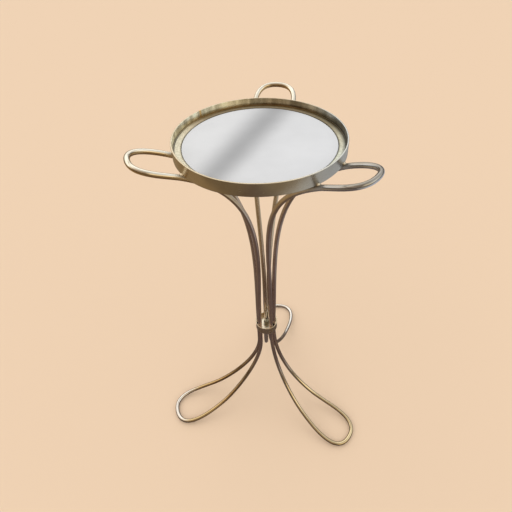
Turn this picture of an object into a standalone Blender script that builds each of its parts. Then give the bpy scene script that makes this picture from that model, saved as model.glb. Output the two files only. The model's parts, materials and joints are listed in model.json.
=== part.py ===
"""Brass tray table on three bent-rod legs.

A round tray with an inset mirror rests on three hairpin loops of brass rod.
Each loop rises from a short collar, flares out under the tray and ends in a
handle beyond its rim. Below the collar three more hairpins sweep out to the
floor and end in teardrop feet. Units are metres, +Z is up, and the origin is
on the floor under the middle of the object's bounding box.
"""

import math

import bmesh
import bpy
from mathutils import Matrix, Vector

# Driving dimensions
TRAY_TOP = 0.653            # floor to the top edge of the tray's rim
TRAY_RADIUS = 0.120
BAND_HEIGHT = 0.0185
BAND_WALL = 0.0022
LEDGE_DROP = 0.0118         # rim's top edge down to the ledge round the mirror
MIRROR_RADIUS = 0.107
MIRROR_THICK = 0.004
FELT_THICK = 0.0005
SHEET = 0.0012              # brass sheet of the tray's pan
PAN_LIP = 0.0016            # the pan's edge curls up this far against the band
ROD_RADIUS = 0.004
GAP = 0.0003                # clearance between pieces that touch

COLLAR_TOP = 0.236          # above the floor
COLLAR_HEIGHT = 0.018
COLLAR_RADIUS = 0.022
COLLAR_WALL = 0.0018
COLLAR_LIP_HEIGHT = 0.003   # the band at the collar's top stands proud
COLLAR_RELIEF = 0.0006
JOINT_DROP = 0.0135         # collar's top down to where upper and lower rods meet
PLATE_THICK = 0.0024
BOLT_RADIUS = 0.003

# The loops are bent by hand, so each leaves the stem a little differently. Start is
# the height where its limbs leave the stem, lean is how far outwards they set off,
# and the pulls are the lengths of the curve's handles at either end.
FLARES = {
    "back": {"start": 0.322, "lean": 0.0, "stem_pull": 0.1438, "band_pull": 0.0837},
    "left": {"start": 0.272, "lean": 0.0, "stem_pull": 0.1446, "band_pull": 0.1340},
    "right": {"start": 0.2426, "lean": 0.034, "stem_pull": 0.2013, "band_pull": 0.1420},
}
BAND_HEADINGS = {
    "back": Vector((0.925, 0.040, 0.456)),
    "left": Vector((0.925, 0.040, 0.456)),
    "right": Vector((0.925, 0.070, 0.530)),
}
BAND_CROSSING = 0.0299      # half the spacing of the limbs where they pass the rim
HANDLE_REACH = 0.1757       # stem axis to the middle of the rod at the loop's end
HANDLE_RISE = 0.6525
HANDLE_PULL = 0.0216
HANDLE_BREADTH_PULL = 0.038

SWEEPS = {
    "back": {"start": 0.177, "stem_pull": 0.078, "knee_pull": 0.028},
    "left": {"start": 0.177, "stem_pull": 0.078, "knee_pull": 0.028},
    "right": {"start": 0.2175, "stem_pull": 0.124, "knee_pull": 0.0275},
}
SWEEP_KNEE = Vector((0.1153, 0.0256, 0.0276))
SWEEP_HEADING = Vector((0.931, 0.172, -0.429))
FOOT_REACH = 0.2223
FOOT_PULL = 0.0496
FOOT_BREADTH_PULL = 0.049

SIDES = {"back": 90.0, "left": 210.0, "right": 330.0}   # azimuth of each leg, degrees
ROD_FACETS = 12
BEND_STEPS = 22
LOOP_STEPS = 24
TURN_STEPS = 72
SMALL_STEPS = 36

# Derived sizes
INNER_RADIUS = TRAY_RADIUS - BAND_WALL
BAND_BOTTOM = TRAY_TOP - BAND_HEIGHT
LEDGE_TOP = TRAY_TOP - LEDGE_DROP
PAN_FLOOR = LEDGE_TOP - MIRROR_THICK - FELT_THICK - 2 * GAP
COLLAR_BORE = COLLAR_RADIUS - COLLAR_WALL
JOINT_HEIGHT = COLLAR_TOP - JOINT_DROP
ROD_RING = COLLAR_BORE - ROD_RADIUS - GAP         # circle that the six rods stand on
PAIR_HALF = ROD_RADIUS + GAP / 2
STEM_REACH = math.sqrt(ROD_RING ** 2 - PAIR_HALF ** 2)
SOCKET_RADIUS = 0.0029
SOCKET_DEPTH = 0.0123
PIN_RADIUS = SOCKET_RADIUS - GAP
PIN_HALF = SOCKET_DEPTH - GAP
PIN_CHAMFER = 0.0004
EDGE_EASE = 0.0005          # small chamfer on turned edges

UPPER_PLATE_TOP = JOINT_HEIGHT + GAP / 2 + PLATE_THICK
LOWER_PLATE_TOP = JOINT_HEIGHT - GAP / 2
WASHER_THICK = 0.001
WASHER_RADIUS = 0.0068
BOLT_HOLE = BOLT_RADIUS + GAP
NUT_BASE = UPPER_PLATE_TOP + 2 * GAP + WASHER_THICK
NUT_RADIUS = 0.0051
NUT_WALL_HEIGHT = 0.006
NUT_DOME_HEIGHT = 0.0042
NUT_BORE_DEPTH = 0.0075
HEAD_TOP = LOWER_PLATE_TOP - PLATE_THICK - 2 * GAP - WASHER_THICK
HEAD_THICK = 0.0042
HEAD_HALF_FLATS = 0.005


def clear_scene():
    for obj in list(bpy.data.objects):
        bpy.data.objects.remove(obj, do_unlink=True)


def make_material(name, colour, roughness, metallic):
    material = bpy.data.materials.new(name)
    material.use_nodes = True
    shader = material.node_tree.nodes["Principled BSDF"]
    shader.inputs["Base Color"].default_value = (*colour, 1.0)
    shader.inputs["Roughness"].default_value = roughness
    shader.inputs["Metallic"].default_value = metallic
    return material


def add_object(name, mesh, material, parent, azimuth=0.0):
    mesh.materials.clear()
    mesh.materials.append(material)
    obj = bpy.data.objects.new(name, mesh)
    bpy.context.scene.collection.objects.link(obj)
    obj.parent = parent
    obj.rotation_euler.z = math.radians(azimuth)
    return obj


def finish_mesh(bm, name, sharp_angle=35.0):
    """Weld, face outwards, shade smooth with crisp edges, and return the mesh."""
    bmesh.ops.remove_doubles(bm, verts=bm.verts, dist=1e-6)
    bmesh.ops.recalc_face_normals(bm, faces=bm.faces)
    mesh = bpy.data.meshes.new(name)
    bm.to_mesh(mesh)
    bm.free()
    mesh.shade_smooth()
    mesh.set_sharp_from_angle(angle=math.radians(sharp_angle))
    return mesh


def turned_mesh(name, profile, steps, closed):
    """Spin a profile of (radius, height) points about the Z axis."""
    bm = bmesh.new()
    verts = [bm.verts.new((radius, 0.0, height)) for radius, height in profile]
    edges = [bm.edges.new(pair) for pair in zip(verts, verts[1:])]
    if closed:
        edges.append(bm.edges.new((verts[-1], verts[0])))
    bmesh.ops.spin(
        bm,
        geom=verts + edges,
        cent=(0.0, 0.0, 0.0),
        axis=(0.0, 0.0, 1.0),
        angle=math.tau,
        steps=steps,
        use_merge=True,
    )
    return finish_mesh(bm, name)


def ring_profile(inner, outer, bottom, top, ease):
    """Rectangular section of a ring, with its outer and top edges eased."""
    return [
        (inner, bottom),
        (outer - ease, bottom),
        (outer, bottom + ease),
        (outer, top - ease),
        (outer - ease, top),
        (inner + ease, top),
        (inner, top - ease),
    ]


def bezier(start, pull_out, pull_in, end, steps):
    """Points of a cubic curve after its start, up to and including its end."""
    points = []
    for step in range(1, steps + 1):
        t = step / steps
        u = 1.0 - t
        points.append(
            start * u ** 3 + pull_out * 3 * u * u * t + pull_in * 3 * u * t * t + end * t ** 3
        )
    return points


def handle_limb(side):
    """One limb of a handle loop: x is outwards, y is to the side, z is up."""
    flare = FLARES[side]
    foot = Vector((STEM_REACH, PAIR_HALF, JOINT_HEIGHT + GAP / 2))
    leave = Vector((STEM_REACH, PAIR_HALF, flare["start"]))
    heading = BAND_HEADINGS[side].normalized()
    slope = math.hypot(heading.x, heading.z) / heading.x
    crossing = Vector((
        math.sqrt(TRAY_RADIUS ** 2 - BAND_CROSSING ** 2),
        BAND_CROSSING,
        BAND_BOTTOM - (ROD_RADIUS + GAP) * slope,
    ))
    tip = Vector((HANDLE_REACH, 0.0, HANDLE_RISE))
    limb = [foot, leave]
    limb += bezier(
        leave,
        leave + Vector((flare["lean"], 0.0, 1.0)) * flare["stem_pull"],
        crossing - heading * flare["band_pull"],
        crossing,
        BEND_STEPS,
    )
    limb += bezier(
        crossing,
        crossing + heading * HANDLE_PULL,
        tip + Vector((0.0, HANDLE_BREADTH_PULL, 0.0)),
        tip,
        LOOP_STEPS,
    )
    return limb


def foot_limb(side):
    """One limb of a foot loop, from the joint in the collar to the loop's end."""
    sweep = SWEEPS[side]
    top = Vector((STEM_REACH, PAIR_HALF, JOINT_HEIGHT - GAP / 2))
    leave = Vector((STEM_REACH, PAIR_HALF, sweep["start"]))
    heading = SWEEP_HEADING.normalized()
    tip = Vector((FOOT_REACH, 0.0, ROD_RADIUS))
    limb = [top, leave]
    limb += bezier(
        leave,
        leave - Vector((0.0, 0.0, sweep["stem_pull"])),
        SWEEP_KNEE - heading * sweep["knee_pull"],
        SWEEP_KNEE,
        BEND_STEPS,
    )
    limb += bezier(
        SWEEP_KNEE,
        SWEEP_KNEE + heading * FOOT_PULL,
        tip + Vector((0.0, FOOT_BREADTH_PULL, 0.0)),
        tip,
        LOOP_STEPS,
    )
    return limb


def limb_frames(limb):
    """Centre, path direction and bend-plane normal at each point of a limb."""
    frames = []
    for index, point in enumerate(limb):
        before = limb[max(index - 1, 0)]
        after = limb[min(index + 1, len(limb) - 1)]
        along = (after - before).normalized()
        if index == len(limb) - 1:
            along = Vector((0.0, -1.0, 0.0))
        side_view = Vector((point.x - before.x, 0.0, point.z - before.z))
        if index == 0:
            side_view = Vector((after.x - point.x, 0.0, after.z - point.z))
        normal = Vector((-side_view.z, 0.0, side_view.x)).normalized()
        frames.append((point, along, normal))
    return frames


def hairpin_mesh(name, limb):
    """Sweep a round rod along a limb, round its end and back down the other limb."""
    half = limb_frames(limb)
    flip = Matrix.Diagonal((1.0, -1.0, 1.0))
    other = [(flip @ p, -(flip @ a), flip @ n) for p, a, n in reversed(half[:-1])]
    bm = bmesh.new()
    rings = []
    for centre, along, normal in half + other:
        rings.append(add_circle(bm, centre, along, normal, ROD_RADIUS))
    for first, second in zip(rings, rings[1:]):
        join_circles(bm, first, second)
    ends = ((half[0], rings[0], 1.0), (other[-1], rings[-1], -1.0))
    for (centre, along, normal), outer, inwards in ends:
        mouth = add_circle(bm, centre, along, normal, SOCKET_RADIUS)
        bottom_centre = centre + along * inwards * SOCKET_DEPTH
        bottom = add_circle(bm, bottom_centre, along, normal, SOCKET_RADIUS)
        join_circles(bm, outer, mouth)
        join_circles(bm, mouth, bottom)
        bm.faces.new(bottom)
    return finish_mesh(bm, name)


def add_circle(bm, centre, along, normal, radius):
    side = along.cross(normal).normalized()
    verts = []
    for facet in range(ROD_FACETS):
        angle = math.tau * facet / ROD_FACETS
        offset = normal * math.cos(angle) + side * math.sin(angle)
        verts.append(bm.verts.new(centre + offset * radius))
    return verts


def join_circles(bm, first, second):
    count = len(first)
    for index in range(count):
        following = (index + 1) % count
        bm.faces.new((first[index], first[following], second[following], second[index]))


def stem_offset(limb):
    """Distance of the stem behind the bounding box's middle, from the feet's reach."""
    lowest = 0.0
    highest = 0.0
    for azimuth in SIDES.values():
        turn = Matrix.Rotation(math.radians(azimuth), 3, "Z")
        for side in (1.0, -1.0):
            for centre, along, normal in limb_frames(limb):
                across = along.cross(normal).normalized()
                for facet in range(ROD_FACETS):
                    angle = math.tau * facet / ROD_FACETS
                    offset = normal * math.cos(angle) + across * math.sin(angle)
                    point = centre + offset * ROD_RADIUS
                    y = (turn @ Vector((point.x, point.y * side, point.z))).y
                    lowest = min(lowest, y)
                    highest = max(highest, y)
    return -(lowest + highest) / 2


def make_tray(parent, brass, satin, mirror, felt):
    band = ring_profile(INNER_RADIUS, TRAY_RADIUS, BAND_BOTTOM, TRAY_TOP, EDGE_EASE)
    add_object("rim_band", turned_mesh("rim_band", band, TURN_STEPS, True), brass, parent)

    lip_outer = INNER_RADIUS - GAP
    shoulder_inner = MIRROR_RADIUS + GAP
    pan = [
        (0.0, PAN_FLOOR),
        (shoulder_inner, PAN_FLOOR),
        (shoulder_inner, LEDGE_TOP),
        (lip_outer - SHEET - PAN_LIP / 2, LEDGE_TOP),
        (lip_outer - SHEET, LEDGE_TOP + PAN_LIP / 2),
        (lip_outer - SHEET, LEDGE_TOP + PAN_LIP),
        (lip_outer, LEDGE_TOP + PAN_LIP),
        (lip_outer, LEDGE_TOP - SHEET + PAN_LIP / 2),
        (lip_outer - PAN_LIP / 2, LEDGE_TOP - SHEET),
        (shoulder_inner + SHEET, LEDGE_TOP - SHEET),
        (shoulder_inner + SHEET, PAN_FLOOR - SHEET),
        (0.0, PAN_FLOOR - SHEET),
    ]
    add_object("tray_pan", turned_mesh("tray_pan", pan, TURN_STEPS, False), satin, parent)

    glass_bottom = LEDGE_TOP - MIRROR_THICK
    glass = [
        (0.0, glass_bottom),
        (MIRROR_RADIUS, glass_bottom),
        (MIRROR_RADIUS, LEDGE_TOP - EDGE_EASE),
        (MIRROR_RADIUS - EDGE_EASE, LEDGE_TOP),
        (0.0, LEDGE_TOP),
    ]
    mesh = turned_mesh("mirror_glass", glass, TURN_STEPS, False)
    add_object("mirror_glass", mesh, mirror, parent)

    felt_top = glass_bottom - GAP
    pad = [
        (0.0, felt_top - FELT_THICK),
        (MIRROR_RADIUS - GAP, felt_top - FELT_THICK),
        (MIRROR_RADIUS - GAP, felt_top),
        (0.0, felt_top),
    ]
    add_object("felt_pad", turned_mesh("felt_pad", pad, SMALL_STEPS, False), felt, parent)


def make_loops(parent, brass):
    for side, azimuth in SIDES.items():
        handle = hairpin_mesh("handle_loop_" + side, handle_limb(side))
        foot = hairpin_mesh("foot_loop_" + side, foot_limb(side))
        add_object("handle_loop_" + side, handle, brass, parent, azimuth)
        add_object("foot_loop_" + side, foot, brass, parent, azimuth)


def make_pins(parent, steel):
    """Six short pins that line up the upper and lower rods inside the collar."""
    low = JOINT_HEIGHT - PIN_HALF
    high = JOINT_HEIGHT + PIN_HALF
    profile = [
        (0.0, low),
        (PIN_RADIUS - PIN_CHAMFER, low),
        (PIN_RADIUS, low + PIN_CHAMFER),
        (PIN_RADIUS, high - PIN_CHAMFER),
        (PIN_RADIUS - PIN_CHAMFER, high),
        (0.0, high),
    ]
    mesh = turned_mesh("joint_pin", profile, ROD_FACETS, False)
    for side, azimuth in SIDES.items():
        for hand, sign in (("a", 1.0), ("b", -1.0)):
            pin = add_object(f"joint_pin_{side}_{hand}", mesh, steel, parent)
            place = Vector((STEM_REACH, PAIR_HALF * sign, 0.0))
            place.rotate(Matrix.Rotation(math.radians(azimuth), 3, "Z"))
            pin.location = place


def pair_notch(name, bottom, top, parent):
    """Cutter for the three round-cornered notches that the rod pairs stand in."""
    clear = ROD_RADIUS + GAP
    corner_steps = 6
    outline = [Vector((COLLAR_RADIUS, -PAIR_HALF - clear, 0.0))]
    for sign in (-1.0, 1.0):
        for step in range(corner_steps + 1):
            turn = math.pi / 2 * step / corner_steps
            if sign > 0:
                turn = math.pi / 2 - turn
            outline.append(Vector((
                STEM_REACH - clear * math.sin(turn),
                sign * (PAIR_HALF + clear * math.cos(turn)),
                0.0,
            )))
    outline.append(Vector((COLLAR_RADIUS, PAIR_HALF + clear, 0.0)))
    bm = bmesh.new()
    for azimuth in SIDES.values():
        turn = Matrix.Rotation(math.radians(azimuth), 3, "Z")
        low = [bm.verts.new(turn @ p + Vector((0.0, 0.0, bottom))) for p in outline]
        high = [bm.verts.new(turn @ p + Vector((0.0, 0.0, top))) for p in outline]
        join_circles(bm, low, high)
        bm.faces.new(low)
        bm.faces.new(high)
    bmesh.ops.recalc_face_normals(bm, faces=bm.faces)
    mesh = bpy.data.meshes.new(name)
    bm.to_mesh(mesh)
    bm.free()
    cutter = bpy.data.objects.new(name, mesh)
    bpy.context.scene.collection.objects.link(cutter)
    cutter.parent = parent
    cutter.hide_render = True
    cutter.display_type = "WIRE"
    return cutter


def make_plate(name, top, parent, brass, cutter):
    """A three-armed plate that fills the collar between the rod pairs."""
    profile = [
        (BOLT_HOLE, top - PLATE_THICK),
        (COLLAR_BORE - GAP, top - PLATE_THICK),
        (COLLAR_BORE - GAP, top),
        (BOLT_HOLE, top),
    ]
    plate = add_object(name, turned_mesh(name, profile, SMALL_STEPS, True), brass, parent)
    cut = plate.modifiers.new("rod notches", "BOOLEAN")
    cut.operation = "DIFFERENCE"
    cut.object = cutter


def make_collar(parent, brass, satin, steel):
    bottom = COLLAR_TOP - COLLAR_HEIGHT
    waist = COLLAR_RADIUS - COLLAR_RELIEF
    lip = COLLAR_TOP - COLLAR_LIP_HEIGHT
    sleeve = [
        (COLLAR_BORE, bottom),
        (waist - EDGE_EASE, bottom),
        (waist, bottom + EDGE_EASE),
        (waist, lip),
        (COLLAR_RADIUS, lip + COLLAR_RELIEF),
        (COLLAR_RADIUS, COLLAR_TOP - EDGE_EASE),
        (COLLAR_RADIUS - EDGE_EASE, COLLAR_TOP),
        (COLLAR_BORE + EDGE_EASE, COLLAR_TOP),
        (COLLAR_BORE, COLLAR_TOP - EDGE_EASE),
    ]
    mesh = turned_mesh("collar_sleeve", sleeve, TURN_STEPS, True)
    add_object("collar_sleeve", mesh, brass, parent)

    overrun = 0.002
    cutter = pair_notch(
        "rod_notches",
        LOWER_PLATE_TOP - PLATE_THICK - overrun,
        UPPER_PLATE_TOP + overrun,
        parent,
    )
    make_plate("upper_plate", UPPER_PLATE_TOP, parent, satin, cutter)
    make_plate("lower_plate", LOWER_PLATE_TOP, parent, satin, cutter)

    for name, low in (
        ("upper_washer", UPPER_PLATE_TOP + GAP),
        ("lower_washer", HEAD_TOP + GAP),
    ):
        profile = ring_profile(BOLT_HOLE, WASHER_RADIUS, low, low + WASHER_THICK, GAP / 2)
        add_object(name, turned_mesh(name, profile, SMALL_STEPS, True), brass, parent)
    make_cap_nut(parent, brass)
    make_clamp_bolt(parent, steel)


def make_cap_nut(parent, brass):
    dome_steps = 6
    wall_top = NUT_BASE + NUT_WALL_HEIGHT
    profile = [
        (0.0, NUT_BASE + NUT_BORE_DEPTH),
        (BOLT_HOLE, NUT_BASE + NUT_BORE_DEPTH),
        (BOLT_HOLE, NUT_BASE),
        (NUT_RADIUS - EDGE_EASE, NUT_BASE),
        (NUT_RADIUS, NUT_BASE + EDGE_EASE),
    ]
    for step in range(dome_steps + 1):
        turn = math.pi / 2 * step / dome_steps
        profile.append((NUT_RADIUS * math.cos(turn), wall_top + NUT_DOME_HEIGHT * math.sin(turn)))
    profile[-1] = (0.0, wall_top + NUT_DOME_HEIGHT)
    add_object("cap_nut", turned_mesh("cap_nut", profile, SMALL_STEPS, False), brass, parent)


def make_clamp_bolt(parent, steel):
    """Hexagon-headed bolt, lofted from rings so that it is one closed body."""
    facets = 24
    shank_top = NUT_BASE + NUT_BORE_DEPTH - GAP

    def ring(bm, height, radius_at):
        verts = []
        for facet in range(facets):
            angle = math.tau * facet / facets
            radius = radius_at(angle)
            verts.append(bm.verts.new((
                radius * math.cos(angle),
                radius * math.sin(angle),
                height,
            )))
        return verts

    def hexagon(angle):
        return HEAD_HALF_FLATS / math.cos((angle % (math.pi / 3)) - math.pi / 6)

    def crown(angle):
        return HEAD_HALF_FLATS * 0.97

    def shank(angle):
        return BOLT_RADIUS

    def point(angle):
        return BOLT_RADIUS - EDGE_EASE

    bm = bmesh.new()
    rings = [
        ring(bm, HEAD_TOP - HEAD_THICK, crown),
        ring(bm, HEAD_TOP - HEAD_THICK + EDGE_EASE, hexagon),
        ring(bm, HEAD_TOP, hexagon),
        ring(bm, HEAD_TOP, shank),
        ring(bm, shank_top - EDGE_EASE, shank),
        ring(bm, shank_top, point),
    ]
    for first, second in zip(rings, rings[1:]):
        join_circles(bm, first, second)
    bm.faces.new(rings[0])
    bm.faces.new(rings[-1])
    add_object("clamp_bolt", finish_mesh(bm, "clamp_bolt"), steel, parent)


def build():
    clear_scene()
    polished = make_material("polished_brass", (0.66, 0.53, 0.33), 0.22, 1.0)
    satin = make_material("satin_brass", (0.60, 0.47, 0.27), 0.34, 1.0)
    mirror = make_material("mirror", (0.86, 0.87, 0.87), 0.04, 1.0)
    felt = make_material("felt", (0.05, 0.09, 0.06), 0.95, 0.0)
    steel = make_material("plated_steel", (0.55, 0.52, 0.46), 0.35, 1.0)

    stem = bpy.data.objects.new("stem_axis", None)
    bpy.context.scene.collection.objects.link(stem)
    stem.location.y = stem_offset(foot_limb("back"))

    make_tray(stem, polished, satin, mirror, felt)
    make_loops(stem, polished)
    make_pins(stem, steel)
    make_collar(stem, polished, satin, steel)


build()
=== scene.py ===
"""Looks of the brass tray table: fine meshes, worn-brass materials, light and camera.

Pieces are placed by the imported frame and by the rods' routes, which repeat the
design's own points. The camera was fitted to one photograph, and the light and
the tones were tuned to match it. Units are metres and +Z is up.
"""

import json
import math

import bmesh
import bpy
from mathutils import Matrix, Vector, noise

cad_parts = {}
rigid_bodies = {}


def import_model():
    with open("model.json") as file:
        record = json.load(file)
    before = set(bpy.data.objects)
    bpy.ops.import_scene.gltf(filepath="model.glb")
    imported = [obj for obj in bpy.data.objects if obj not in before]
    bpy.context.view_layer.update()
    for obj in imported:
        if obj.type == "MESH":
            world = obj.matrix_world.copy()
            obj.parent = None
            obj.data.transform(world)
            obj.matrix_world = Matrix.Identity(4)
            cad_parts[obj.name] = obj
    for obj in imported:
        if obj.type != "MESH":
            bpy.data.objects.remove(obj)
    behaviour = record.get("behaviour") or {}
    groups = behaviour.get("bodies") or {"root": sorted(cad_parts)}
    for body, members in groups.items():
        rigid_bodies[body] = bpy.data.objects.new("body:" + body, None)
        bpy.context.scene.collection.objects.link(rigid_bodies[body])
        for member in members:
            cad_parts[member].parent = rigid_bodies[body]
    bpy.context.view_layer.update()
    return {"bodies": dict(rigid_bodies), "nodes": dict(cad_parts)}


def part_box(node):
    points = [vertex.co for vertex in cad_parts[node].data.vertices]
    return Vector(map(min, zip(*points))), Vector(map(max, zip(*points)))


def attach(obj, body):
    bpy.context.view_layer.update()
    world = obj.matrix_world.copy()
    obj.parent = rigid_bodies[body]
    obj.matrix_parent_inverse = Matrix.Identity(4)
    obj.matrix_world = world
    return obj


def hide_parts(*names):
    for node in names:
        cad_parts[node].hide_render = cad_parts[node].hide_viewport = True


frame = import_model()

BODY = next(iter(frame["bodies"]))
MIX_INPUTS = (0, 6, 7)            # a colour mix node's factor and two colours
MIX_RESULT = 2
LAY = "Lay"                       # UV map in metres: along the work, then across it


# ---------------------------------------------------------------- frame sizes

BAND_LOW, BAND_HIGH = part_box("rim_band")
PAN_LOW, PAN_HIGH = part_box("tray_pan")
GLASS_LOW, GLASS_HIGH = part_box("mirror_glass")
FELT_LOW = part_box("felt_pad")[0]
SLEEVE_LOW, SLEEVE_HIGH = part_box("collar_sleeve")
FOOT_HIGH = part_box("foot_loop_back")[1]

STEM = Vector(((BAND_LOW.x + BAND_HIGH.x) / 2, (BAND_LOW.y + BAND_HIGH.y) / 2, 0.0))
TRAY_RADIUS = (BAND_HIGH.x - BAND_LOW.x) / 2
TRAY_TOP = BAND_HIGH.z
BAND_BOTTOM = BAND_LOW.z
GLASS_RADIUS = (GLASS_HIGH.x - GLASS_LOW.x) / 2
LEDGE_TOP = GLASS_HIGH.z
SLEEVE_RADIUS = (SLEEVE_HIGH.x - SLEEVE_LOW.x) / 2

GAP = 0.0003
ROD_RADIUS = 0.004
ROD_SKIN = 0.00392                # the drawn rod, just inside its faceted solid
BAND_WALL = 0.0022
SHEET = 0.0012
SLEEVE_WALL = 0.0018
SLEEVE_LIP = 0.003
SLEEVE_RELIEF = 0.0006
JOINT_DROP = 0.0135
SEAM_ALONG = 0.312                # the band's soldered seam, at the back left
BAND_INNER = TRAY_RADIUS - BAND_WALL
SIDES = {"back": 90.0, "left": 210.0, "right": 330.0}

BAND_SEGMENTS = 256
TRAY_SEGMENTS = 192
SLEEVE_SEGMENTS = 128
ROD_FACETS = 28
WOBBLE_ROUND = 2.3                # how fast the hoop's wobble changes round it
WOBBLE_UP = 40                    # and up it

PAPER = (0.855, 0.638, 0.451)     # the pale floor and backdrop
FLOOR_HALF = 9.0
FLOOR_HEIGHT = -0.0002            # just under the feet
SKY_STRENGTH = 0.965
RIGHT = (1.0, 0.0, 0.0)
FRONT = (0.0, -1.0, 0.0)
UP = (0.0, 0.0, 1.0)
BEAM_NORMAL = (0.7326, -0.1962, 0.6517)   # square to the plane of the dark beam

LENS = 28.08                      # mm on a 36 mm sensor
SHIFT_ACROSS = -0.0248
SHIFT_UP = -0.0422
CAMERA_PLACE = Vector((0.09199, -0.53334, 0.90949))
CAMERA_AZIMUTH = math.radians(9.6736)
CAMERA_TILT = math.radians(48.4216)
CAMERA_ROLL = math.radians(-1.3842)

# ---------------------------------------------------------------- mesh helpers


def place(obj, node_names=()):
    """Link a piece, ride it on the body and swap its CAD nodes."""
    bpy.context.scene.collection.objects.link(obj)
    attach(obj, BODY)
    if node_names:
        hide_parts(*node_names)
    return obj


def smooth_mesh(bm, name, sharp_angle=40.0):
    bmesh.ops.recalc_face_normals(bm, faces=bm.faces)
    mesh = bpy.data.meshes.new(name)
    bm.to_mesh(mesh)
    bm.free()
    mesh.shade_smooth()
    mesh.set_sharp_from_angle(angle=math.radians(sharp_angle))
    return mesh


def set_lay(face, layer, corners):
    for loop, uv in zip(face.loops, corners):
        loop[layer].uv = uv


def loft(bm, rings, along, around, closed_path=False):
    """Join rings of vertices with quads, and lay the UV map in metres.

    along holds each ring's distance down the work, and around each vertex's
    distance across it.
    """
    layer = bm.loops.layers.uv.get(LAY) or bm.loops.layers.uv.new(LAY)
    count = len(rings[0])
    pairs = list(zip(range(len(rings)), range(1, len(rings))))
    if closed_path:
        pairs.append((len(rings) - 1, 0))
    for first, second in pairs:
        far = along[second] if second > first else along[-1] + (along[1] - along[0])
        for index in range(count):
            following = (index + 1) % count
            across = around[index]
            across_next = around[index + 1] if index + 1 < len(around) else around[-1]
            face = bm.faces.new((
                rings[first][index],
                rings[first][following],
                rings[second][following],
                rings[second][index],
            ))
            set_lay(face, layer, (
                (along[first], across),
                (along[first], across_next),
                (far, across_next),
                (far, across),
            ))


def round_corners(profile, radii, steps=4):
    """Replace the corners of a closed (radius, height) profile by short arcs."""
    rounded = []
    count = len(profile)
    for index, corner in enumerate(profile):
        corner = Vector(corner)
        radius = radii[index]
        if radius <= 0.0:
            rounded.append(corner)
            continue
        before = (Vector(profile[index - 1]) - corner).normalized()
        after = (Vector(profile[(index + 1) % count]) - corner).normalized()
        start = corner + before * radius
        end = corner + after * radius
        for step in range(steps + 1):
            t = step / steps
            rounded.append(start * (1 - t) ** 2 + corner * 2 * t * (1 - t) + end * t * t)
    return rounded


def turned(name, profile, segments, node_names, material, wobble=0.0):
    """A ring with a closed profile, swept round the stem's axis."""
    distance = [0.0]
    for first, second in zip(profile, profile[1:] + profile[:1]):
        distance.append(distance[-1] + (Vector(second) - Vector(first)).length)
    bm = bmesh.new()
    rings = []
    along = []
    largest = max(radius for radius, height in profile)
    for segment in range(segments):
        angle = math.tau * segment / segments
        direction = Vector((math.cos(angle), math.sin(angle), 0.0))
        along.append(angle * largest)
        ring = []
        for radius, height in profile:
            spot = direction * WOBBLE_ROUND + Vector((0.0, 0.0, height * WOBBLE_UP))
            sway = wobble * noise.noise(spot)
            centre = STEM + direction * (radius - abs(sway))
            ring.append(bm.verts.new((centre.x, centre.y, height)))
        rings.append(ring)
    loft(bm, rings, along, distance, closed_path=True)
    mesh = smooth_mesh(bm, name)
    mesh.materials.append(material)
    return place(bpy.data.objects.new(name, mesh), node_names)


def turned_solid(name, profile, segments, node_names, material):
    """A solid of revolution, with its outline running from axis to axis."""
    bm = bmesh.new()
    layer = bm.loops.layers.uv.new(LAY)
    columns = []
    for segment in range(segments):
        angle = math.tau * segment / segments
        columns.append((math.cos(angle), math.sin(angle)))
    start = bm.verts.new((STEM.x, STEM.y, profile[0][1]))
    end = bm.verts.new((STEM.x, STEM.y, profile[-1][1]))
    rings = []
    for radius, height in profile[1:-1]:
        rings.append([
            bm.verts.new((STEM.x + radius * c, STEM.y + radius * s, height))
            for c, s in columns
        ])

    def flat(vert):
        return (vert.co.x - STEM.x, vert.co.y - STEM.y + vert.co.z)

    for index in range(segments):
        following = (index + 1) % segments
        faces = [(start, rings[0][following], rings[0][index])]
        faces += [
            (low[index], low[following], high[following], high[index])
            for low, high in zip(rings, rings[1:])
        ]
        faces.append((end, rings[-1][index], rings[-1][following]))
        for corners in faces:
            face = bm.faces.new(corners)
            set_lay(face, layer, [flat(v) for v in corners])
    mesh = smooth_mesh(bm, name)
    mesh.materials.append(material)
    return place(bpy.data.objects.new(name, mesh), node_names)


# ---------------------------------------------------------------- rod routes


def bezier(start, pull_out, pull_in, end, steps):
    points = []
    for step in range(1, steps + 1):
        t = step / steps
        u = 1.0 - t
        points.append(
            start * u ** 3 + pull_out * 3 * u * u * t + pull_in * 3 * u * t * t + end * t ** 3
        )
    return points


SLEEVE_BORE = SLEEVE_RADIUS - SLEEVE_WALL
PAIR_HALF = ROD_RADIUS + GAP / 2
STEM_REACH = math.sqrt((SLEEVE_BORE - ROD_RADIUS - GAP) ** 2 - PAIR_HALF ** 2)
JOINT_HEIGHT = SLEEVE_HIGH.z - JOINT_DROP
FOOT_REACH = FOOT_HIGH.y - STEM.y - ROD_RADIUS
HANDLE_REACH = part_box("handle_loop_back")[1].y - STEM.y - ROD_RADIUS

FLARES = {
    "back": {"start": 0.322, "lean": 0.0, "stem_pull": 0.1438, "band_pull": 0.0837},
    "left": {"start": 0.272, "lean": 0.0, "stem_pull": 0.1446, "band_pull": 0.1340},
    "right": {"start": 0.2426, "lean": 0.034, "stem_pull": 0.2013, "band_pull": 0.1420},
}
BAND_HEADINGS = {
    "back": Vector((0.925, 0.040, 0.456)),
    "left": Vector((0.925, 0.040, 0.456)),
    "right": Vector((0.925, 0.070, 0.530)),
}
BAND_CROSSING = 0.0299            # how far to each side a handle's limbs meet the band
HANDLE_RISE = 0.6525
HANDLE_PULL = 0.0216
HANDLE_BREADTH_PULL = 0.038

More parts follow.
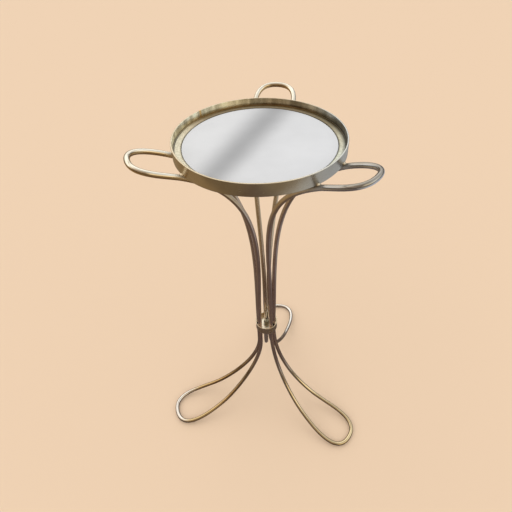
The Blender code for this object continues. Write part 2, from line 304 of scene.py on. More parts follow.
SWEEPS = {
    "back": {"start": 0.177, "stem_pull": 0.078, "knee_pull": 0.028},
    "left": {"start": 0.177, "stem_pull": 0.078, "knee_pull": 0.028},
    "right": {"start": 0.2175, "stem_pull": 0.124, "knee_pull": 0.0275},
}
SWEEP_KNEE = Vector((0.1153, 0.0256, 0.0276))
SWEEP_HEADING = Vector((0.931, 0.172, -0.429)).normalized()
FOOT_PULL = 0.0496
FOOT_BREADTH_PULL = 0.049

STEM_STEPS = 24
FLARE_STEPS = 64
HANDLE_STEPS = 40
FOOT_STEM_STEPS = 8
SWEEP_STEPS = 56
FOOT_STEPS = 44


def straight(start, end, steps):
    return [start.lerp(end, step / steps) for step in range(steps + 1)]


def handle_limb(side):
    flare = FLARES[side]
    heading = BAND_HEADINGS[side].normalized()
    foot = Vector((STEM_REACH, PAIR_HALF, JOINT_HEIGHT + GAP / 2))
    leave = Vector((STEM_REACH, PAIR_HALF, flare["start"]))
    slope = math.hypot(heading.x, heading.z) / heading.x
    crossing = Vector((
        math.sqrt(TRAY_RADIUS ** 2 - BAND_CROSSING ** 2),
        BAND_CROSSING,
        BAND_BOTTOM - (ROD_RADIUS + GAP) * slope,
    ))
    tip = Vector((HANDLE_REACH, 0.0, HANDLE_RISE))
    limb = straight(foot, leave, STEM_STEPS)
    limb += bezier(
        leave,
        leave + Vector((flare["lean"], 0.0, 1.0)) * flare["stem_pull"],
        crossing - heading * flare["band_pull"],
        crossing,
        FLARE_STEPS,
    )
    limb += bezier(
        crossing,
        crossing + heading * HANDLE_PULL,
        tip + Vector((0.0, HANDLE_BREADTH_PULL, 0.0)),
        tip,
        HANDLE_STEPS,
    )
    return limb


def foot_limb(side):
    sweep = SWEEPS[side]
    top = Vector((STEM_REACH, PAIR_HALF, JOINT_HEIGHT - GAP / 2))
    leave = Vector((STEM_REACH, PAIR_HALF, sweep["start"]))
    tip = Vector((FOOT_REACH, 0.0, ROD_RADIUS))
    limb = straight(top, leave, FOOT_STEM_STEPS)
    limb += bezier(
        leave,
        leave - Vector((0.0, 0.0, sweep["stem_pull"])),
        SWEEP_KNEE - SWEEP_HEADING * sweep["knee_pull"],
        SWEEP_KNEE,
        SWEEP_STEPS,
    )
    limb += bezier(
        SWEEP_KNEE,
        SWEEP_KNEE + SWEEP_HEADING * FOOT_PULL,
        tip + Vector((0.0, FOOT_BREADTH_PULL, 0.0)),
        tip,
        FOOT_STEPS,
    )
    return limb


def limb_frames(limb):
    """Centre, path direction and bend-plane normal at each point of a limb."""
    last = len(limb) - 1
    frames = []
    for index, point in enumerate(limb):
        before = limb[max(index - 1, 0)]
        after = limb[min(index + 1, last)]
        if index == last:
            along = Vector((0.0, -1.0, 0.0))
        else:
            along = (after - before).normalized()
        chord = after - point if index == 0 else point - before
        normal = Vector((-chord.z, 0.0, chord.x)).normalized()
        frames.append((point, along, normal))
    return frames


def hairpin(name, limb, azimuth, node_name, material):
    """A round rod down one limb, round the loop's end and back up the other."""
    turn = Matrix.Rotation(math.radians(azimuth), 3, "Z")
    half = limb_frames(limb)
    flip = Matrix.Diagonal((1.0, -1.0, 1.0))
    other = [(flip @ p, -(flip @ a), flip @ n) for p, a, n in reversed(half[:-1])]
    bm = bmesh.new()
    rings = []
    along = []
    travelled = 0.0
    previous = None
    for centre, heading, normal in half + other:
        if previous is not None:
            travelled += (centre - previous).length
        previous = centre
        along.append(travelled)
        side = heading.cross(normal).normalized()
        ring = []
        for facet in range(ROD_FACETS):
            angle = math.tau * facet / ROD_FACETS
            offset = normal * math.cos(angle) + side * math.sin(angle)
            ring.append(bm.verts.new(STEM + turn @ (centre + offset * ROD_SKIN)))
        rings.append(ring)
    girth = math.tau * ROD_SKIN
    around = [girth * facet / ROD_FACETS for facet in range(ROD_FACETS + 1)]
    loft(bm, rings, along, around)
    for ring in (rings[0], rings[-1]):
        bm.faces.new(ring)
    mesh = smooth_mesh(bm, name, 60.0)
    mesh.materials.append(material)
    return place(bpy.data.objects.new(name, mesh), (node_name,))


BEAD_SIZES = Vector((0.0017, 0.0034, 0.0017))
BEAD_OUT = 0.0004
BEAD_UP = 0.0001
BEAD_RIPPLE = 0.16
BEAD_RIPPLE_SCALE = 1.7
BEAD_SEED_SCALE = 400             # makes each bead's ripple its own
BEAD_SLUMP = 0.35                 # how much flatter the bead is on its outer side


def braze_bead(name, azimuth, across, material):
    """A small puddle of braze where a rod touches the band's lower edge."""
    reach = math.sqrt(TRAY_RADIUS ** 2 - across ** 2)
    centre = Vector((reach + BEAD_OUT, across, BAND_BOTTOM + BEAD_UP))
    turn = Matrix.Rotation(math.radians(azimuth), 3, "Z")
    lean = Matrix.Rotation(math.atan2(across, reach), 3, "Z")
    own_ripple = Vector((azimuth, across * BEAD_SEED_SCALE, 0.0))
    bm = bmesh.new()
    bmesh.ops.create_icosphere(bm, subdivisions=4, radius=1.0)
    layer = bm.loops.layers.uv.new(LAY)
    for vert in bm.verts:
        direction = vert.co.normalized()
        ripple = noise.noise(direction * BEAD_RIPPLE_SCALE + own_ripple)
        local = Vector((
            direction.x * BEAD_SIZES.x,
            direction.y * BEAD_SIZES.y,
            direction.z * BEAD_SIZES.z * (1.0 - BEAD_SLUMP * direction.x),
        ))
        local *= 1.0 + BEAD_RIPPLE * ripple
        vert.co = STEM + turn @ (centre + lean @ local)
    for face in bm.faces:
        spots = [loop.vert.co for loop in face.loops]
        set_lay(face, layer, [(spot.x, spot.y + spot.z) for spot in spots])
    mesh = smooth_mesh(bm, name, 180.0)
    mesh.materials.append(material)
    return place(bpy.data.objects.new(name, mesh), ())


# ---------------------------------------------------------------- materials


class Nodes:
    """Short names for building a shader's node tree."""

    def __init__(self, name):
        self.material = bpy.data.materials.new(name)
        self.material.use_nodes = True
        self.tree = self.material.node_tree
        self.shader = self.tree.nodes["Principled BSDF"]
        self.uv = None

    def add(self, kind, **settings):
        node = self.tree.nodes.new(kind)
        for key, value in settings.items():
            setattr(node, key, value)
        return node

    def link(self, source, target):
        self.tree.links.new(source, target)

    def lay(self):
        """The UV map in metres."""
        if self.uv is None:
            self.uv = self.add("ShaderNodeUVMap", uv_map=LAY)
        return self.uv.outputs["UV"]

    def place(self):
        """Object coordinates, which are metres in the row's frame."""
        return self.add("ShaderNodeTexCoord").outputs["Object"]

    def axes(self):
        """X, Y and Z of the place, each as a value."""
        split = self.add("ShaderNodeSeparateXYZ")
        self.link(self.place(), split.inputs["Vector"])
        return split.outputs

    def scaled(self, source, scale):
        node = self.add("ShaderNodeMapping")
        node.inputs["Scale"].default_value = scale
        self.link(source, node.inputs["Vector"])
        return node.outputs["Vector"]

    def noise(self, source, scale, detail=4.0, roughness=0.55, distortion=0.0):
        node = self.add("ShaderNodeTexNoise")
        node.inputs["Scale"].default_value = scale
        node.inputs["Detail"].default_value = detail
        node.inputs["Roughness"].default_value = roughness
        node.inputs["Distortion"].default_value = distortion
        self.link(source, node.inputs["Vector"])
        return node.outputs["Fac"]

    def ramp(self, source, stops):
        node = self.add("ShaderNodeValToRGB")
        elements = node.color_ramp.elements
        elements[0].position, elements[0].color = stops[0][0], (*stops[0][1], 1.0)
        elements[1].position, elements[1].color = stops[-1][0], (*stops[-1][1], 1.0)
        for position, colour in stops[1:-1]:
            elements.new(position).color = (*colour, 1.0)
        self.link(source, node.inputs["Fac"])
        return node.outputs["Color"]

    def span(self, source, low, high, from_low=0.0, from_high=1.0):
        node = self.add("ShaderNodeMapRange")
        node.inputs["From Min"].default_value = from_low
        node.inputs["From Max"].default_value = from_high
        node.inputs["To Min"].default_value = low
        node.inputs["To Max"].default_value = high
        self.link(source, node.inputs["Value"])
        return node.outputs["Result"]

    def mix(self, factor, first, second, blend="MIX"):
        node = self.add("ShaderNodeMix", data_type="RGBA", blend_type=blend)
        for value, socket in zip((factor, first, second), MIX_INPUTS):
            if isinstance(value, (int, float)):
                node.inputs[socket].default_value = value
            elif isinstance(value, tuple):
                node.inputs[socket].default_value = (*value, 1.0)
            else:
                self.link(value, node.inputs[socket])
        return node.outputs[MIX_RESULT]

    def rise(self, source, start, end):
        """0 up to start, and 1 from end on."""
        return self.span(source, 0.0, 1.0, start, end)

    def fall(self, source, start, end):
        """1 up to start, and 0 from end on."""
        return self.span(source, 1.0, 0.0, start, end)

    def tint(self, factor, colour, tone):
        """Multiply a colour by a tone, as far as the factor says."""
        return self.mix(factor, colour, tone, "MULTIPLY")

    def maths(self, operation, first, second=None):
        node = self.add("ShaderNodeMath", operation=operation)
        for value, socket in ((first, 0), (second, 1)):
            if value is None:
                continue
            if isinstance(value, (int, float)):
                node.inputs[socket].default_value = value
            else:
                self.link(value, node.inputs[socket])
        return node.outputs[0]

    def bump(self, heights):
        """Stack height maps, each (source, strength, depth in metres)."""
        normal = None
        for source, strength, depth in heights:
            node = self.add("ShaderNodeBump")
            node.inputs["Strength"].default_value = strength
            node.inputs["Distance"].default_value = depth
            self.link(source, node.inputs["Height"])
            if normal is not None:
                self.link(normal, node.inputs["Normal"])
            normal = node.outputs["Normal"]
        self.link(normal, self.shader.inputs["Normal"])


def facing_up(nodes):
    """The surface normal's Z."""
    split = nodes.add("ShaderNodeSeparateXYZ")
    nodes.link(nodes.add("ShaderNodeNewGeometry").outputs["Normal"], split.inputs["Vector"])
    return split.outputs["Z"]


def from_stem(nodes, axes):
    """Distance from the stem's axis."""
    flat = nodes.add("ShaderNodeCombineXYZ")
    nodes.link(axes["X"], flat.inputs["X"])
    nodes.link(axes["Y"], flat.inputs["Y"])
    distance = nodes.add("ShaderNodeVectorMath", operation="DISTANCE")
    nodes.link(flat.outputs["Vector"], distance.inputs[0])
    distance.inputs[1].default_value = STEM
    return distance.outputs["Value"]


# Heights over which the rods' tone changes, each a start and an end in metres.
HANDLE_STARTS = (0.54, 0.62)
STEM_ENDS = (0.50, 0.58)
STEM_STARTS = (0.06, 0.16)
FOOT_ENDS = (0.02, 0.13)
# FACES_UP sets where the handles' painted highlights on top give way to the painted reflections
# on their undersides.
FACES_UP = (0.15, 0.75)           # not a height: the normal's Z, from side to top


def rod_tones(nodes, colour):
    """Duller stems, a browner left leg, painted highlights and reflections on the handles, cool
    on the right one, a back stem lightened as a painted reflection, and feet part gold, part
    silver as painted reflections.
    """
    axes = nodes.axes()
    across, back, height = axes["X"], axes["Y"], axes["Z"]
    stem = nodes.maths(
        "MULTIPLY", nodes.fall(height, *STEM_ENDS), nodes.rise(height, *STEM_STARTS)
    )
    colour = nodes.tint(stem, colour, (0.94, 0.88, 1.02))

    # Painted highlights and reflections: the handles are tinted by which way they face, whiter on
    # top and gold below on the left and back, darker on top and bluer below on the right.
    below = nodes.fall(facing_up(nodes), *FACES_UP)
    warm = nodes.mix(below, (1.08, 1.14, 1.24), (1.0, 0.80, 0.50))
    cool = nodes.mix(below, (0.48, 0.50, 0.56), (0.95, 1.12, 1.55))
    handle = nodes.mix(nodes.rise(across, 0.03, 0.08), warm, cool)
    colour = nodes.tint(nodes.rise(height, *HANDLE_STARTS), colour, handle)

    # Painted reflections on the feet: silver at the left tip and on the back foot, gold
    # elsewhere, deeper on the right.
    rear = nodes.rise(back, 0.0, 0.06)
    left_tip = nodes.fall(across, -0.180, -0.155)
    silver = nodes.maths("MAXIMUM", rear, left_tip)
    gold = nodes.mix(nodes.fall(across, -0.10, 0.0), (0.96, 0.87, 0.68), (0.88, 0.74, 0.50))
    foot = nodes.mix(silver, gold, (1.08, 1.14, 1.34))
    colour = nodes.tint(nodes.fall(height, *FOOT_ENDS), colour, foot)

    left_leg = nodes.maths(
        "MULTIPLY", nodes.fall(across, -0.08, -0.01), nodes.rise(height, 0.012, 0.04)
    )
    left_leg = nodes.maths("MULTIPLY", left_leg, nodes.fall(height, 0.12, 0.20))
    colour = nodes.tint(left_leg, colour, (0.74, 0.62, 0.48))

    # Painted reflection: the back stem is lightened; low on the back leg it is also tinted bluer.
    rear_stem = nodes.maths("MULTIPLY", stem, nodes.rise(back, -0.042, -0.036))
    colour = nodes.tint(rear_stem, colour, (1.22, 1.26, 1.06))
    rear_foot = nodes.maths("MULTIPLY", rear_stem, nodes.fall(height, 0.25, 0.33))
    return nodes.tint(rear_foot, colour, (1.0, 1.10, 1.35))


def heat_stain(nodes):
    """Extra roughness on the rods near the band.

    Reflections skip the band, so here the rods would mirror the dark underside of
    the pan. The roughness blurs that, and can pass for a stain from the brazing.
    """
    axes = nodes.axes()
    near_band = nodes.span(
        from_stem(nodes, axes), 0.42, 0.0, TRAY_RADIUS + 0.005, TRAY_RADIUS + 0.014
    )
    return nodes.maths("MULTIPLY", near_band, nodes.rise(axes["Z"], 0.615, 0.630))


def sheet_tones(nodes, colour):
    """Ledge pale at the pan's sides and dull gold at the back, a painted reflection; painted
    shade in its corner and by the wall on the right; a painted cool reflection on the right; dark
    by the glass.
    """
    axes = nodes.axes()
    radius = from_stem(nodes, axes)
    toward_back = nodes.rise(axes["Y"], STEM.y - TRAY_RADIUS, STEM.y + TRAY_RADIUS)
    to_right = nodes.rise(axes["X"], 0.03, 0.09)
    on_ledge = nodes.rise(radius, GLASS_RADIUS - 0.0004, GLASS_RADIUS)
    by_wall = nodes.rise(radius, GLASS_RADIUS + 0.0045, GLASS_RADIUS + 0.0085)
    by_glass = nodes.fall(radius, GLASS_RADIUS + 0.0010, GLASS_RADIUS + 0.0022)
    corner = nodes.rise(axes["Z"], LEDGE_TOP + 0.0001, LEDGE_TOP + 0.0009)

    # Painted reflection of the band: the ledge stays pale at the sides and darkens to dull gold
    # at the back.
    ledge = nodes.ramp(toward_back, (
        (0.45, (1.00, 1.05, 1.06)),
        (0.62, (0.82, 0.80, 0.72)),
        (0.76, (0.34, 0.28, 0.18)),
        (1.0, (0.27, 0.22, 0.14)),
    ))
    colour = nodes.tint(on_ledge, colour, ledge)
    shade = nodes.maths("MULTIPLY", to_right, by_wall)
    colour = nodes.tint(shade, colour, (0.30, 0.31, 0.32))
    # Painted cool reflection: the pan is tinted bluer towards the right.
    colour = nodes.tint(to_right, colour, (0.90, 0.97, 1.04))

    grain = nodes.noise(nodes.place(), 420.0, detail=4.0, roughness=0.7)
    worn = nodes.mix(nodes.rise(grain, 0.44, 0.60), (0.78, 0.79, 0.77), (1.08, 1.08, 1.08))
    colour = nodes.tint(on_ledge, colour, worn)
    grime = nodes.mix(toward_back, (0.60, 0.58, 0.52), (0.34, 0.32, 0.30))
    colour = nodes.tint(nodes.maths("MULTIPLY", on_ledge, by_glass), colour, grime)

    # Painted shade in the corner where the pan's lip meets the ledge: dark at the front and
    # sides, gold at the back.
    corner_tone_and_painted_shade = nodes.ramp(toward_back, (
        (0.45, (0.34, 0.34, 0.33)),
        (0.62, (0.60, 0.52, 0.38)),
        (0.76, (1.05, 0.84, 0.54)),
        (1.0, (1.10, 0.88, 0.56)),
    ))
    return nodes.tint(corner, colour, corner_tone_and_painted_shade)


def band_tones(nodes, colour):
    """Silvery on the right outside, a painted cool reflection; inside, painted highlight and
    shade make it pale at the left and grey right, with stripes of painted reflection.
    """
    axes = nodes.axes()
    across = axes["X"]
    # Painted cool reflection: the outside turns silvery and bluer towards the right.
    colour = nodes.tint(nodes.rise(across, 0.01, 0.08), colour, (0.93, 0.98, 1.10))
    colour = nodes.tint(nodes.rise(across, 0.06, 0.10), colour, (0.92, 1.02, 1.18))

    inside = nodes.fall(from_stem(nodes, axes), BAND_INNER + 0.0001, BAND_INNER + 0.0004)
    # Painted highlight and shade on the inside: pale at the left, grey and dark at the right.
    dull = nodes.ramp(nodes.rise(across, -0.12, 0.12), (
        (0.0, (1.22, 1.36, 1.50)),
        (0.16, (1.22, 1.34, 1.42)),
        (0.30, (1.05, 1.06, 0.98)),
        (0.50, (0.86, 0.80, 0.68)),
        (0.78, (0.66, 0.64, 0.58)),
        (1.0, (0.30, 0.33, 0.38)),
    ))
    # Painted reflections of the handles: vertical light and dark stripes inside.
    painted_reflection_stripes = nodes.noise(nodes.scaled(nodes.lay(), (70.0, 8.0, 1.0)), 1.0, detail=4.0)
    streak = nodes.mix(nodes.rise(painted_reflection_stripes, 0.40, 0.62), (0.66, 0.64, 0.58), (1.34, 1.34, 1.32))
    colour = nodes.tint(inside, colour, nodes.tint(1.0, dull, streak))

    along = nodes.add("ShaderNodeSeparateXYZ")
    nodes.link(nodes.lay(), along.inputs["Vector"])
    off_seam = nodes.maths("ABSOLUTE", nodes.maths("SUBTRACT", along.outputs["X"], SEAM_ALONG))
    return nodes.tint(nodes.fall(off_seam, 0.0007, 0.0026), colour, (1.15, 0.82, 0.46))


def brass(name, bright, deep, patina, patina_cover, roughness, grain,
          tones=None, dents=0.25, stain=None):
    """Worn brass: drawn lines, cloudy tone, brown patina and fine scratches."""
    nodes = Nodes(name)
    shader = nodes.shader
    shader.inputs["Metallic"].default_value = 1.0
    place_vector = nodes.place()
    cloud = nodes.noise(place_vector, 26.0, detail=5.0, roughness=0.6, distortion=0.4)
    mottle = nodes.noise(place_vector, 140.0, detail=6.0, roughness=0.7)
    tone = nodes.mix(nodes.rise(cloud, 0.32, 0.68), deep, bright)
    drawn = nodes.scaled(nodes.lay(), (9.0, 1500.0, 1.0))
    lines = nodes.noise(drawn, 1.0, detail=3.0, roughness=0.6)
    lined = nodes.tint(nodes.span(lines, 0.0, 0.35), tone, deep)
    blotches = nodes.maths("MULTIPLY", cloud, mottle)
    cover = nodes.rise(blotches, patina_cover, patina_cover + 0.12)
    colour = nodes.mix(cover, lined, patina)
    if tones:
        colour = tones(nodes, colour)
    nodes.link(colour, shader.inputs["Base Color"])
    wear = nodes.maths("ADD", nodes.span(cloud, -0.05, 0.07), nodes.span(lines, -0.04, 0.04))
    spread = nodes.maths("ADD", wear, nodes.span(cover, roughness, roughness + 0.16))
    if stain:
        spread = nodes.maths("ADD", spread, stain(nodes))
    nodes.link(spread, shader.inputs["Roughness"])
    fine = nodes.scaled(nodes.lay(), (60.0, 5200.0, 1.0))
    scratches = nodes.noise(fine, 1.0, detail=2.0)
    nodes.bump((
        (cloud, dents, 0.0006),
        (mottle, 0.12, 0.00012),
        (scratches, grain, 0.00003),
    ))
    return nodes.material


def mirror_material():
    """Silvered glass with a faint haze and a few specks."""
    nodes = Nodes("silvered_mirror")
    shader = nodes.shader
    shader.inputs["Metallic"].default_value = 0.5
    vector = nodes.place()
    haze = nodes.noise(vector, 18.0, detail=4.0, roughness=0.5)
    specks = nodes.noise(vector, 900.0, detail=2.0)
    clean = nodes.mix(nodes.rise(haze, 0.3, 0.7), (0.56, 0.56, 0.565), (0.61, 0.61, 0.615))
    dusty = nodes.mix(nodes.span(specks, 0.0, 0.5, 0.72, 0.8), clean, (0.48, 0.47, 0.45))
    nodes.link(dusty, shader.inputs["Base Color"])
    nodes.link(nodes.span(haze, 0.03, 0.07), shader.inputs["Roughness"])
    nodes.bump(((haze, 0.04, 0.0004),))
    return nodes.material


def felt_material():
    nodes = Nodes("green_felt")
    vector = nodes.place()
    fibre = nodes.noise(vector, 1400.0, detail=6.0, roughness=0.8)
    tufts = nodes.noise(vector, 160.0, detail=4.0)
    colour = nodes.ramp(fibre, ((0.3, (0.012, 0.03, 0.016)), (0.7, (0.045, 0.085, 0.05))))
    nodes.link(colour, nodes.shader.inputs["Base Color"])
    nodes.link(nodes.span(tufts, 0.85, 1.0), nodes.shader.inputs["Roughness"])
    nodes.shader.inputs["Sheen Weight"].default_value = 0.4
    nodes.bump(((fibre, 0.6, 0.0003), (tufts, 0.3, 0.0004)))
    return nodes.material


def steel_material():
    nodes = Nodes("plated_steel")
    nodes.shader.inputs["Metallic"].default_value = 1.0
    vector = nodes.place()
    cloud = nodes.noise(vector, 220.0, detail=5.0)
    grit = nodes.noise(vector, 2400.0, detail=3.0)
    colour = nodes.ramp(cloud, (
        (0.3, (0.30, 0.26, 0.20)),
        (0.55, (0.52, 0.49, 0.43)),
        (0.8, (0.60, 0.58, 0.53)),
    ))
    nodes.link(colour, nodes.shader.inputs["Base Color"])
    nodes.link(nodes.span(cloud, 0.5, 0.28), nodes.shader.inputs["Roughness"])
    nodes.bump(((grit, 0.3, 0.00004),))
    return nodes.material


# ---------------------------------------------------------------- pieces


def make_band(material):
    profile = round_corners(
        [
            (BAND_INNER, BAND_BOTTOM),
            (TRAY_RADIUS, BAND_BOTTOM),
            (TRAY_RADIUS, TRAY_TOP),
            (BAND_INNER, TRAY_TOP),
        ],
        (0.0004, 0.0006, 0.0007, 0.0006),
    )
    return turned(
        "rim_band_skin", profile, BAND_SEGMENTS, ("rim_band",), material,
        wobble=0.00025,
    )


def make_pan(material):
    """Sheet pan: sunk floor, flat ledge round the mirror and a lip curled up the band."""
    lip_outer = TRAY_RADIUS - BAND_WALL - GAP
    lip_inner = lip_outer - SHEET
    ledge_inner = GLASS_RADIUS + GAP
    floor_top = FELT_LOW.z - GAP
    floor_bottom = PAN_LOW.z
    curl = (PAN_HIGH.z - LEDGE_TOP) * 0.6
    steps = 6
    profile = [(0.0, floor_top), (ledge_inner, floor_top)]
    ease = 0.0004
    profile += [(ledge_inner, LEDGE_TOP - ease), (ledge_inner + ease, LEDGE_TOP)]
    for step in range(steps + 1):
        turn = math.pi / 2 * step / steps
        profile.append((
            lip_inner - curl * (1 - math.sin(turn)),
            LEDGE_TOP + curl * (1 - math.cos(turn)),
        ))
    profile += [
        (lip_inner, PAN_HIGH.z - ease),
        (lip_inner + ease, PAN_HIGH.z),
        (lip_outer, PAN_HIGH.z - ease / 2),
    ]
    for step in range(steps + 1):
        turn = math.pi / 2 * step / steps
        profile.append((
            lip_outer - 2 * SHEET * (1 - math.cos(turn)),
            LEDGE_TOP + SHEET * (1 - 2 * math.sin(turn)),
        ))
    profile += [
        (ledge_inner + SHEET + ease, LEDGE_TOP - SHEET),
        (ledge_inner + SHEET, LEDGE_TOP - SHEET - ease),
        (ledge_inner + SHEET, floor_bottom + ease),
        (ledge_inner + SHEET - ease, floor_bottom),
        (0.0, floor_bottom),
    ]
    return turned_solid(
        "tray_pan_skin", profile, TRAY_SEGMENTS, ("tray_pan",), material,
    )


def make_mirror(material):
    bevel = 0.0006
    profile = [
        (0.0, GLASS_LOW.z),
        (GLASS_RADIUS - bevel / 2, GLASS_LOW.z),
        (GLASS_RADIUS, GLASS_LOW.z + bevel / 2),
        (GLASS_RADIUS, GLASS_HIGH.z - bevel),
        (GLASS_RADIUS - bevel / 3, GLASS_HIGH.z - bevel / 3),
        (GLASS_RADIUS - bevel, GLASS_HIGH.z),
        (GLASS_RADIUS - 2 * bevel, GLASS_HIGH.z),
        (0.0, GLASS_HIGH.z),
    ]
    return turned_solid(
        "mirror_skin", profile, TRAY_SEGMENTS, ("mirror_glass",), material,
    )


def make_sleeve(material):
    waist = SLEEVE_RADIUS - SLEEVE_RELIEF
    lip = SLEEVE_HIGH.z - SLEEVE_LIP
    profile = round_corners(
        [
            (SLEEVE_BORE, SLEEVE_LOW.z),
            (waist, SLEEVE_LOW.z),
            (waist, lip),
            (SLEEVE_RADIUS, lip + SLEEVE_RELIEF),
            (SLEEVE_RADIUS, SLEEVE_HIGH.z),
            (SLEEVE_BORE, SLEEVE_HIGH.z),
        ],
        (0.0003, 0.0004, 0.0003, 0.0003, 0.0005, 0.0005),
    )
    return turned(
        "collar_skin", profile, SLEEVE_SEGMENTS, ("collar_sleeve",), material,
    )


def dress(obj, material):
    """Give a CAD solid that is drawn as it is a material."""
    if obj.data.materials:
        obj.data.materials[0] = material
    else:
        obj.data.materials.append(material)


def make_pieces():
    polished = brass(
        "polished_brass_rod", (0.90, 0.82, 0.66), (0.74, 0.64, 0.48), (0.34, 0.25, 0.16),
        0.40, 0.10, 0.35, rod_tones, dents=0.12, stain=heat_stain,
    )
    band_brass = brass(
        "polished_brass_band", (0.80, 0.70, 0.52), (0.66, 0.55, 0.38), (0.34, 0.25, 0.16),
        0.40, 0.24, 0.45, band_tones,
    )
    sleeve_brass = brass(
        "polished_brass_sleeve", (0.82, 0.72, 0.55), (0.66, 0.55, 0.39), (0.32, 0.23, 0.15),
        0.38, 0.26, 0.45,
    )
    satin = brass(
        "satin_brass_sheet", (0.86, 0.78, 0.62), (0.72, 0.62, 0.46), (0.40, 0.31, 0.20),
        0.36, 0.34, 0.5, sheet_tones,
    )
    plate_brass = brass(
        "satin_brass_plate", (0.92, 0.86, 0.72), (0.80, 0.72, 0.56), (0.46, 0.37, 0.25),
        0.40, 0.30, 0.4,
    )
    nut_brass = brass(
        "dull_brass_nut", (0.44, 0.41, 0.29), (0.34, 0.31, 0.21), (0.24, 0.20, 0.13),
        0.40, 0.40, 0.45,
    )
    steel = steel_material()
    band = make_band(band_brass)
    band.visible_glossy = False   # no reflection shows the band, so the mirror has no grey edge
    make_pan(satin)
    make_mirror(mirror_material())
    for side, azimuth in SIDES.items():
        hairpin(f"handle_rod_{side}", handle_limb(side), azimuth, f"handle_loop_{side}", polished)
        hairpin(f"foot_rod_{side}", foot_limb(side), azimuth, f"foot_loop_{side}", polished)
        braze_bead(f"braze_bead_{side}_a", azimuth, BAND_CROSSING, sleeve_brass)
        braze_bead(f"braze_bead_{side}_b", azimuth, -BAND_CROSSING, sleeve_brass)
    make_sleeve(sleeve_brass)
    for name, obj in frame["nodes"].items():
        if name == "felt_pad":
            dress(obj, felt_material())
        elif name.startswith("joint_pin") or name == "clamp_bolt":
            dress(obj, steel)
        elif name in ("upper_plate", "lower_plate", "upper_washer", "lower_washer"):
            dress(obj, plate_brass)
        elif name == "cap_nut":
            dress(obj, nut_brass)


# ---------------------------------------------------------------- studio


def make_floor():
    """Pale paper for the camera and the light, with dimmer, browner colours in reflections."""
    bm = bmesh.new()
    corners = [
        bm.verts.new((x * FLOOR_HALF, y * FLOOR_HALF, FLOOR_HEIGHT))
        for x, y in ((-1, -1), (1, -1), (1, 1), (-1, 1))
    ]
    bm.faces.new(corners)
    mesh = bpy.data.meshes.new("floor")
    bm.to_mesh(mesh)
    bm.free()
    nodes = Nodes("floor_paper")
    axes = nodes.axes()
    across = nodes.rise(axes["X"], -1.2, 1.2)
    dim = nodes.ramp(across, (
        (0.20, (0.30, 0.22, 0.13)),
        (0.44, (0.13, 0.095, 0.082)),
        (0.61, (0.13, 0.10, 0.09)),
        (0.73, (0.45, 0.45, 0.46)),
    ))
    near = nodes.ramp(across, (
        (0.36, (0.17, 0.13, 0.085)),
        (0.46, (0.13, 0.095, 0.080)),
        (0.56, (0.13, 0.105, 0.09)),
        (0.70, (0.24, 0.20, 0.15)),
    ))
    dim = nodes.mix(nodes.fall(axes["Y"], -0.80, -0.55), dim, near)
    mirrored = nodes.add("ShaderNodeLightPath").outputs["Is Glossy Ray"]
    nodes.link(nodes.mix(mirrored, PAPER, dim), nodes.shader.inputs["Base Color"])
    nodes.shader.inputs["Roughness"].default_value = 0.95
    nodes.shader.inputs["Specular IOR Level"].default_value = 0.05
    mesh.materials.append(nodes.material)
    floor = bpy.data.objects.new("floor", mesh)
    bpy.context.scene.collection.objects.link(floor)


def world_dot(tree, source, axis):
    node = tree.nodes.new("ShaderNodeVectorMath")
    node.operation = "DOT_PRODUCT"
    tree.links.new(source, node.inputs[0])
    node.inputs[1].default_value = axis
    return node.outputs["Value"]


def world_ramp(tree, source, stops):
    node = tree.nodes.new("ShaderNodeValToRGB")
    node.color_ramp.interpolation = "EASE"
    elements = node.color_ramp.elements
    elements[0].position, elements[0].color = stops[0][0], (*stops[0][1], 1.0)
    elements[1].position, elements[1].color = stops[-1][0], (*stops[-1][1], 1.0)
    for position, colour in stops[1:-1]:
        elements.new(position).color = (*colour, 1.0)
    tree.links.new(source, node.inputs["Fac"])
    return node.outputs["Color"]


def world_half(tree, source):
    """Bring a -1 to 1 value into 0 to 1 for a ramp."""
    node = tree.nodes.new("ShaderNodeMath")
    node.operation = "MULTIPLY_ADD"
    tree.links.new(source, node.inputs[0])
    node.inputs[1].default_value = 0.5
    node.inputs[2].default_value = 0.5
    return node.outputs["Value"]


def world_mix(tree, factor, first, second, blend="MIX"):
    """Mix two colours. The factor and the first colour may be plain values."""
    node = tree.nodes.new("ShaderNodeMix")
    node.data_type = "RGBA"
    node.blend_type = blend
    for value, socket in zip((factor, first, second), MIX_INPUTS):
        if isinstance(value, (float, tuple)):
            node.inputs[socket].default_value = value
        else:
            tree.links.new(value, node.inputs[socket])
    return node.outputs[MIX_RESULT]


def world_times(tree, first, second):
    return world_mix(tree, 1.0, first, second, "MULTIPLY")


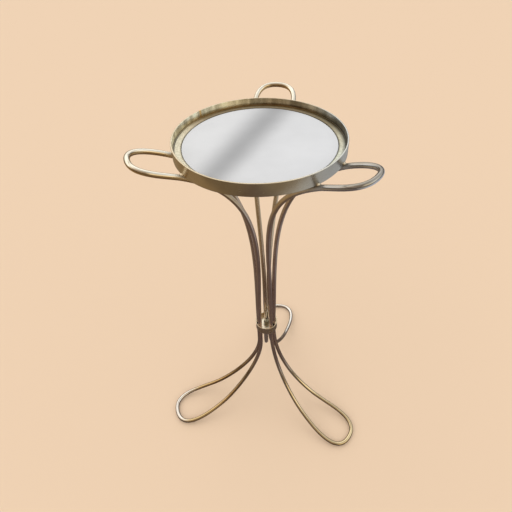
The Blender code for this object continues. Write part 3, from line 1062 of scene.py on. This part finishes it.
def make_world():
    """Soft room: dim at the horizon, bright above it, dimmer and cooler half right.

    A soft dark beam crosses the ceiling and shows as a streak in the mirror. Only
    reflections see the tinted front, and the camera sees plain paper. It is not a
    consistent room: it was tuned until one view matched the photograph.
    """
    world = bpy.data.worlds.new("studio")
    bpy.context.scene.world = world
    world.use_nodes = True
    tree = world.node_tree
    background = tree.nodes["Background"]
    heading = tree.nodes.new("ShaderNodeTexCoord").outputs["Generated"]
    to_right = world_half(tree, world_dot(tree, heading, RIGHT))
    to_front = world_half(tree, world_dot(tree, heading, FRONT))
    off_beam = world_half(tree, world_dot(tree, heading, BEAM_NORMAL))
    height = world_ramp(tree, world_dot(tree, heading, UP), (
        (0.0, (0.14, 0.11, 0.09)),
        (0.10, (0.35, 0.32, 0.28)),
        (0.26, (1.15, 1.15, 1.15)),
        (0.50, (1.45, 1.45, 1.45)),
        (0.82, (1.40, 1.40, 1.40)),
        (0.97, (0.90, 0.90, 0.90)),
    ))
    side = world_ramp(tree, to_right, (
        (0.20, (1.0, 0.98, 0.95)),
        (0.52, (0.98, 0.98, 0.98)),
        (0.68, (0.60, 0.62, 0.65)),
        (0.82, (0.60, 0.62, 0.64)),
        (0.97, (1.0, 1.0, 0.96)),
    ))
    beam = world_ramp(tree, off_beam, (
        (0.472, (1.0, 1.0, 1.0)),
        (0.498, (0.33, 0.33, 0.33)),
        (0.524, (1.0, 1.0, 1.0)),
    ))
    front = world_ramp(tree, to_front, (
        (0.52, (1.0, 1.0, 1.0)),
        (0.66, (0.62, 0.55, 0.47)),
        (0.82, (0.26, 0.20, 0.15)),
    ))
    front_right = world_ramp(tree, to_front, (
        (0.52, (1.0, 1.0, 1.0)),
        (0.66, (0.98, 0.90, 0.76)),
        (0.82, (1.25, 1.03, 0.72)),
    ))
    rightward = world_ramp(tree, to_right, (
        (0.60, (0.0, 0.0, 0.0)),
        (0.68, (0.5, 0.5, 0.5)),
        (0.74, (1.0, 1.0, 1.0)),
    ))
    ray = tree.nodes.new("ShaderNodeLightPath").outputs
    ahead = world_mix(tree, rightward, front, front_right)
    seen = world_mix(tree, ray["Is Glossy Ray"], (1.0, 1.0, 1.0, 1.0), ahead)
    sky = world_times(tree, world_times(tree, height, side), world_times(tree, beam, seen))
    shown = world_mix(tree, ray["Is Camera Ray"], sky, (*PAPER, 1.0))
    tree.links.new(shown, background.inputs["Color"])
    background.inputs["Strength"].default_value = SKY_STRENGTH


def make_camera():
    """A wide lens close by, looking down on the table from a little to the right."""
    data = bpy.data.cameras.new("photo_view")
    data.sensor_width = 36.0
    data.lens = LENS
    data.shift_x = SHIFT_ACROSS
    data.shift_y = SHIFT_UP
    data.clip_start = 0.02
    camera = bpy.data.objects.new("photo_view", data)
    turn = Matrix.Rotation(CAMERA_AZIMUTH, 4, "Z")
    tilt = Matrix.Rotation(CAMERA_TILT, 4, "X")
    roll = Matrix.Rotation(CAMERA_ROLL, 4, "Z")
    camera.matrix_world = Matrix.Translation(CAMERA_PLACE) @ turn @ tilt @ roll
    bpy.context.scene.collection.objects.link(camera)
    bpy.context.scene.camera = camera


make_camera()
make_pieces()
make_floor()
make_world()
bpy.context.scene.view_settings.view_transform = "Standard"
